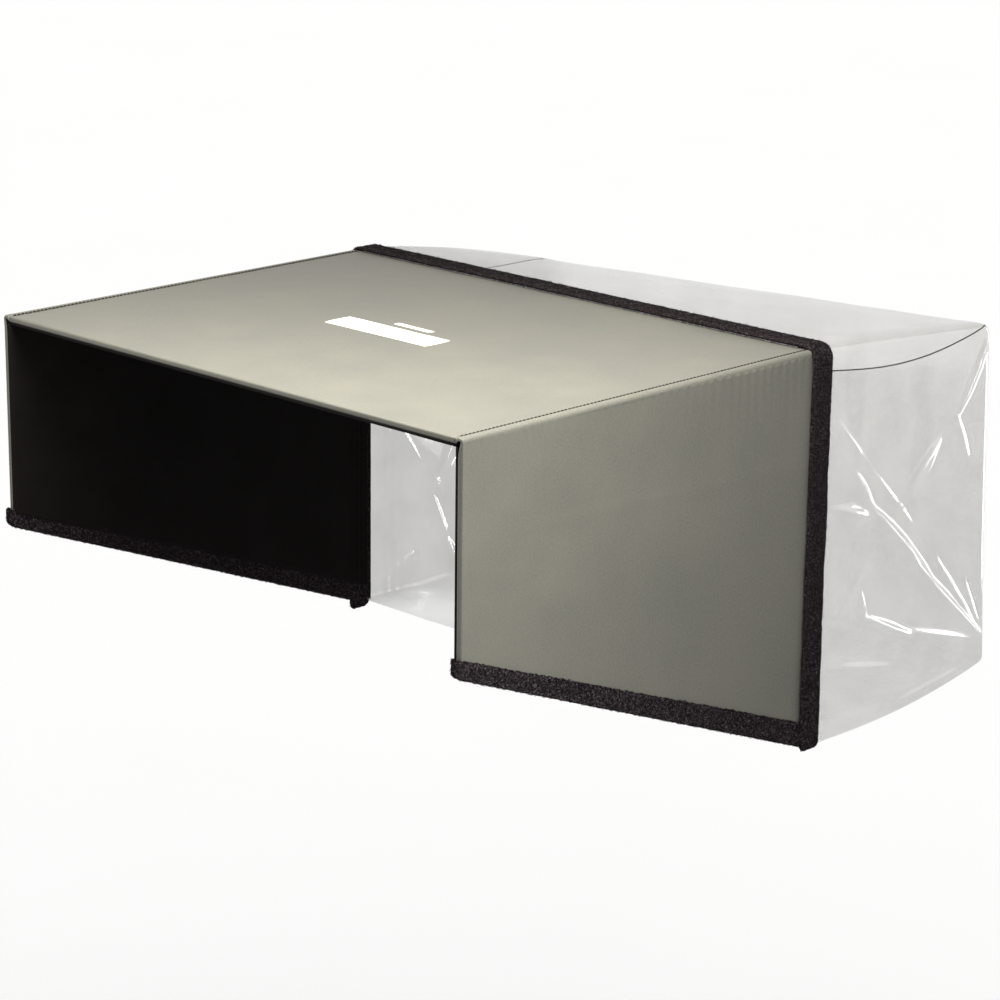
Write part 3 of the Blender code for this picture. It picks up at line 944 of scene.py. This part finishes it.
def drape_cover(obj, hold):
    """Lets the limp vinyl buckle and sag, held at its tape and loosely elsewhere."""
    group = obj.vertex_groups.new(name="hold")
    for i, weight in enumerate(hold):
        group.add([i], float(weight), "REPLACE")
    cloth = obj.modifiers.new("cloth", "CLOTH")
    settings = cloth.settings
    settings.quality = 6
    settings.mass = 0.25
    settings.tension_stiffness = settings.compression_stiffness = 35
    settings.shear_stiffness = 20
    settings.bending_stiffness = 14
    settings.tension_damping = settings.compression_damping = 8
    settings.air_damping = 3
    settings.vertex_group_mass = "hold"
    settings.pin_stiffness = 0.6
    settings.shrink_min = settings.shrink_max = SHRINK
    settings.effector_weights.gravity = 0.35
    cloth.collision_settings.use_collision = False
    cloth.collision_settings.use_self_collision = False
    scene = bpy.context.scene
    cloth.point_cache.frame_start, cloth.point_cache.frame_end = 1, 40
    for number in range(1, DRAPE_FRAMES + 1):
        scene.frame_set(number)
    apply_modifiers(obj)
    scene.frame_set(1)


# Folds of the walls, listed one by one: start (y, z), end (y, z), width of the upper flank, slope.
RIGHT_FOLDS = (
    ((0.036, -0.105), (0.084, -0.117), 0.0110, 0.42),
    ((0.062, -0.084), (0.085, -0.119), 0.0085, 0.42),
    ((0.074, -0.106), (0.156, -0.181), 0.0150, 0.38),
    ((0.118, -0.152), (0.215, -0.233), 0.0110, 0.40),
    ((0.026, -0.030), (0.082, -0.088), 0.0026, 0.38),
    ((0.076, -0.082), (0.136, -0.141), 0.0032, 0.36),
    ((0.150, -0.155), (0.213, -0.230), 0.0036, 0.40),
    ((0.188, -0.180), (0.213, -0.229), 0.0024, 0.42),
    ((0.073, -0.168), (0.079, -0.192), 0.0045, 0.44),
    ((0.068, -0.197), (0.079, -0.190), 0.0024, 0.40),
    ((0.072, -0.185), (0.136, -0.215), 0.0085, 0.44),
    ((0.112, -0.204), (0.208, -0.233), 0.0062, 0.44),
    ((0.100, -0.126), (0.156, -0.076), 0.0100, 0.17),
    ((0.038, -0.192), (0.086, -0.138), 0.0080, 0.16),
    ((0.170, -0.068), (0.206, -0.012), 0.0070, 0.36),
    ((0.172, -0.064), (0.190, -0.100), 0.0060, 0.14),
    ((0.046, -0.215), (0.116, -0.231), 0.0050, 0.36),
    ((0.078, -0.262), (0.216, -0.248), 0.0040, 0.26),
)
LEFT_FOLDS = (
    ((0.050, -0.120), (0.088, -0.178), 0.0040, 0.34),
    ((0.086, -0.172), (0.112, -0.236), 0.0034, 0.36),
    ((0.097, -0.182), (0.126, -0.140), 0.0110, 0.30),
    ((0.094, -0.178), (0.106, -0.200), 0.0070, 0.34),
    ((0.108, -0.232), (0.128, -0.268), 0.0110, 0.30),
    ((0.098, -0.212), (0.106, -0.262), 0.0026, 0.36),
    ((0.062, -0.204), (0.094, -0.254), 0.0050, 0.16),
    ((0.032, -0.258), (0.080, -0.236), 0.0050, 0.20),
    ((0.130, -0.060), (0.205, -0.200), 0.0060, 0.30),
    ((0.150, -0.210), (0.210, -0.090), 0.0070, 0.26),
    ((0.120, -0.090), (0.160, -0.240), 0.0080, 0.24),
)


def crease_relief(y, z, folds):
    """Folds with a flat upper flank and a short lower one, tapering at both ends."""
    total = 0 * y
    for start, end, width, slope in folds:
        off, share = segment_distance(y, z, start, end)
        taper = np.sin(pi * np.clip(share, 0.0, 1.0)) ** 0.7
        flank = np.where(off > 0, width, 0.4 * width) * taper + 1e-6
        total += slope * width * taper * np.maximum(1 - np.abs(off) / flank, 0)
    return total


def left_drapes(y, z):
    """Upright pleats of the left wall where the film is gathered into its tape."""
    drift = 1.2 * np.sin(z / 0.045) + 0.6 * np.sin(z / 0.017)
    fade = np.exp(-np.maximum(y - 0.052, 0) / 0.010)
    return 0.00036 * np.cos(2 * pi * (y - 0.030) / 0.0088 + 0.5 * drift) * fade


def facets(points, seed, size):
    """Dents with ridges between them, like crumpled film: the highest of several ripples."""
    rng = np.random.default_rng(seed)
    heights = []
    for i in range(7):
        heights.append(ripple(points, seed + i, size * rng.uniform(1.6, 3.0), 5))
    return np.sort(np.array(heights), axis=0)[-1] - 1.2


def clear_cover(mats):
    """The limp film as one sheet: draped from its tape, smoothed and then creased."""
    verts, faces = bag_mesh()
    obj = mesh_object("clear_cover", verts, faces)
    y = verts[:, 1]
    least = lerp(HOLD_FREE, HOLD_RIGHT, near_wall(verts[:, 0], 1))
    hold = np.clip(1 - (y - TAPE_END_Y) / 0.012, least, 1)
    hold = np.maximum(hold, HOLD_TOP * (verts[:, 2] > TOP_Z - HOLD_TOP_BAND))
    settle_cover(obj, verts, hold)
    smooth = obj.modifiers.new("smooth", "SUBSURF")
    smooth.levels = smooth.render_levels = 2
    apply_modifiers(obj)
    wrinkle_cover(obj)
    obj.data.shade_smooth()
    finish_piece(obj, mats["vinyl"], "rear_cover")
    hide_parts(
        "cover_top", "cover_left_wall", "cover_right_wall", "cover_back", "cover_bottom"
    )
    return obj


def wrinkle_cover(obj):
    """Moves the film along its normals into dents, folds and pleats, but not at the tape."""
    mesh = obj.data
    count = len(mesh.vertices)
    points, normals = np.zeros(count * 3), np.zeros(count * 3)
    mesh.vertices.foreach_get("co", points)
    mesh.vertices.foreach_get("normal", normals)
    points, normals = points.reshape(-1, 3), normals.reshape(-1, 3)
    free = ease((points[:, 1] - TAPE_END_Y) / 0.03)
    x, y, z = points.T
    right = ease((x - HALF + 0.025) / 0.012)
    left = ease((-x - HALF + 0.025) / 0.012)
    move = -0.0005 * facets(points, 70, 0.09) * (1 - 0.75 * right) * (1 - 0.6 * left)
    move += crease_relief(y, z, RIGHT_FOLDS) * right
    move -= (crease_relief(y, z, LEFT_FOLDS) + left_drapes(y, z)) * left
    points = points + normals * (move * free)[:, None]
    mesh.vertices.foreach_set("co", points.ravel())
    mesh.update()


def cover_seam(side, word, cover, mats):
    """Stitches where the top sheet is sewn to a wall, laid on the wrinkled film."""
    depsgraph = bpy.context.evaluated_depsgraph_get()
    tree = BVHTree.FromObject(cover, depsgraph)
    found = []
    for s in np.linspace(0.02, 0.992, 120):
        z = float(cover_seam_z(s, side))
        rise = (z - FLOOR_Z) / (TOP_Z - FLOOR_Z)
        y = lerp(COVER_Y, lerp(COVER_REAR_BOTTOM, COVER_REAR_TOP, rise), s)
        hit = tree.ray_cast(Vector((side * 0.4, y, z)), Vector((-side, 0, 0)))
        if hit[0] is not None and abs(hit[0].x) > HALF - 0.05:
            found.append(tuple(hit[0] + Vector((side * 0.0002, 0, 0))))
    line = spaced(found, SEAM_STITCH_PITCH)
    normals = np.tile((float(side), 0.0, 0.0), (len(line), 1))
    obj = stitches(f"cover_{word}_seam_stitches", line, normals, mats, 0.0033, 0.00046)
    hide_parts(f"cover_{word}_seam_thread")
    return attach(obj, "rear_cover")


# ---------------------------------------------------------------- the stage


def area_light(name, place, target, width, height, power, color, receivers, state="INCLUDE"):
    """A soft box. It lights only the receivers, or all but them where the state says so."""
    light = bpy.data.lights.new(name, "AREA")
    light.shape = "RECTANGLE"
    light.size, light.size_y = width, height
    light.energy = power
    light.color = color
    obj = bpy.data.objects.new(name, light)
    obj.location = place
    toward = Vector(target) - Vector(place)
    obj.rotation_mode = "QUATERNION"
    obj.rotation_quaternion = toward.to_track_quat("-Z", "Y")
    bpy.context.scene.collection.objects.link(obj)
    chosen = bpy.data.collections.new(name + "_receivers")
    for receiver in receivers:
        chosen.objects.link(receiver)
    for link in chosen.collection_objects:
        link.light_linking.link_state = state
    obj.light_linking.receiver_collection = chosen


def stage(mats):
    """A pale floor under an even white sky."""
    bpy.ops.mesh.primitive_plane_add(size=14, location=(0, 0, CAD_BOX[0].z - FLOOR_BELOW))
    floor = bpy.context.object
    floor.name = "floor"
    floor.data.materials.append(mats["floor"])
    world = bpy.data.worlds.new("studio")
    world.use_nodes = True
    background = world.node_tree.nodes["Background"]
    background.inputs["Color"].default_value = (1, 1, 1, 1)
    background.inputs["Strength"].default_value = 1.06
    scene = bpy.context.scene
    scene.world = world
    scene.view_settings.view_transform = "Standard"
    return floor


def lights(floor, cover):
    """A warm key close above the open front, a fill beside it, and three boxes for the film."""
    area_light("key", (0.12, -0.31, 0.34), (0.10, -0.28, 0), 0.72, 0.10, 15.5, (1, 0.955, 0.875),
               [floor], "EXCLUDE")
    area_light("side_fill", (0.49, -0.33, -0.02), (0.215, -0.28, -0.05), 0.10, 0.26, 2.3,
               (1, 0.97, 0.91), [floor], "EXCLUDE")
    white = (1, 1, 1)
    place, target = (0.80, 1.75, -0.12), (0.2, 0.1, -0.1)
    area_light("rear_gloss", place, target, 0.34, 1.12, 30, white, [cover])
    area_light("rear_panel", (1.2, 2.0, 0.3), target, 1.6, 1.8, 20, white, [cover])
    area_light("front_gloss", (0.1, -1.9, 0.35), (-0.2, 0.1, -0.1), 0.22, 1.1, 15, white, [cover])


def camera():
    """A long lens at the place that the hood is seen from."""
    data = bpy.data.cameras.new("camera")
    data.lens = CAMERA_LENS
    data.sensor_width = 36
    data.clip_start, data.clip_end = 0.05, 50
    obj = bpy.data.objects.new("camera", data)
    toward = (CAMERA_TARGET - CAMERA_PLACE).to_track_quat("-Z", "Y").to_matrix()
    roll = Matrix.Rotation(CAMERA_ROLL, 3, "Z")
    obj.matrix_world = Matrix.Translation(CAMERA_PLACE) @ (toward @ roll).to_4x4()
    bpy.context.scene.collection.objects.link(obj)
    bpy.context.scene.camera = obj


def paint_cad_nodes(mats):
    """The pieces that keep their CAD shape get their own materials."""
    for name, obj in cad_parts.items():
        for ending, kind in (("_board", "board"), ("_hook_tape", "hook")):
            if name.endswith(ending):
                obj.data.materials.clear()
                obj.data.materials.append(mats[kind])


def main():
    mats = {
        "shell": shell_material(),
        "lining": lining_material(),
        "tape": tape_material(),
        "thread": thread_material(),
        "vinyl": vinyl_material(),
        "board": board_material(),
        "hook": hook_material(),
        "ink": ink_material(),
        "floor": floor_material(),
    }
    camera()
    floor = stage(mats)
    top_cloth(mats)
    top_lining_cloth(mats)
    printed_mark(mats)
    for side, word in SIDES:
        side_cloth(side, word, mats)
        side_lining_cloth(side, word, mats)
        top_stitches(side, word, mats)
        bottom_binding(side, word, mats)
    rear_tape(mats)
    tape_stitches(mats)
    cover = clear_cover(mats)
    for side, word in SIDES:
        cover_seam(side, word, cover, mats)
    lights(floor, cover)
    paint_cad_nodes(mats)


main()
